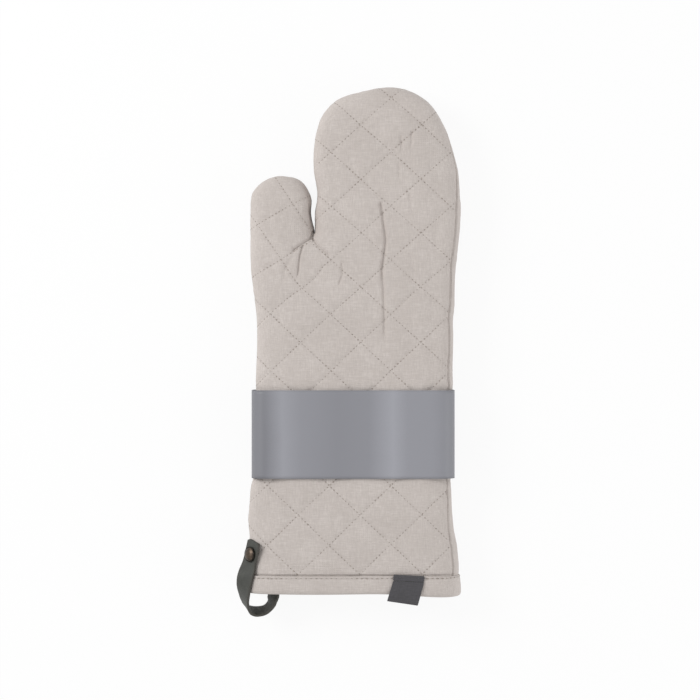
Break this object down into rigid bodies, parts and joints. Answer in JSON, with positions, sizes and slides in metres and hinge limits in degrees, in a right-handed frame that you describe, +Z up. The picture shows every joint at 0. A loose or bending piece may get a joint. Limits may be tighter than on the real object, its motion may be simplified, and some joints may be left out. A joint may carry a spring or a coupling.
{
  "type": "oven mitt",
  "caption": "Quilted fabric oven mitt with thumb, bound cuff, riveted leather hanging loop, folded label flap and a sliding paper belly band.",
  "frame": {"origin": "centre of the bounding box in plan, on the table the mitt lies on", "axes": "+X to the right and +Y toward the finger tips as seen from above with the thumb on the left, +Z up off the table"},
  "size_m": [0.1556, 0.3623, 0.0349],
  "materials": {
    "linen": "matt woven",
    "wadding": "matt felted",
    "lining": "matt woven",
    "binding": "matt woven",
    "thread": "matt twisted",
    "leather": "smooth satin",
    "rivet": "antiqued",
    "label": "woven satin",
    "band": "silk coated",
    "glue": "dried adhesive"
  },
  "bodies": {
    "mitt": {"front_shell": "linen", "back_shell": "linen", "front_wadding": "wadding", "back_wadding": "wadding", "front_lining": "lining", "back_lining": "lining", "front_quilting_thread": "thread", "back_quilting_thread": "thread", "side_seam_thread": "thread", "cuff_binding": "binding", "binding_topstitch": "thread", "rivet_cap": "rivet", "rivet_post": "rivet", "label_tab": "label", "label_stitches": "thread"},
    "strap": {"hanging_strap": "leather"},
    "label": {"woven_label": "label"},
    "band": {"paper_band": "band", "band_glue": "glue"}
  },
  "joints": [
    {"name": "strap_swivel", "type": "hinge", "parent": "mitt", "child": "strap", "pos_m": [-0.06582, -0.13868, 0.02549], "axis": [-0.7639, 0.0574, 0.6428], "range_deg": [-5, 5]},
    {"name": "label_flip", "type": "hinge", "parent": "mitt", "child": "label", "pos_m": [0.0403, -0.1568, 0.03415], "axis": [-0.9986, 0.0523, 0], "range_deg": [0, 105]},
    {"name": "band_slide", "type": "slide", "parent": "mitt", "child": "band", "axis": [0, 1, 0], "range_m": [0, 0.04]}
  ]
}
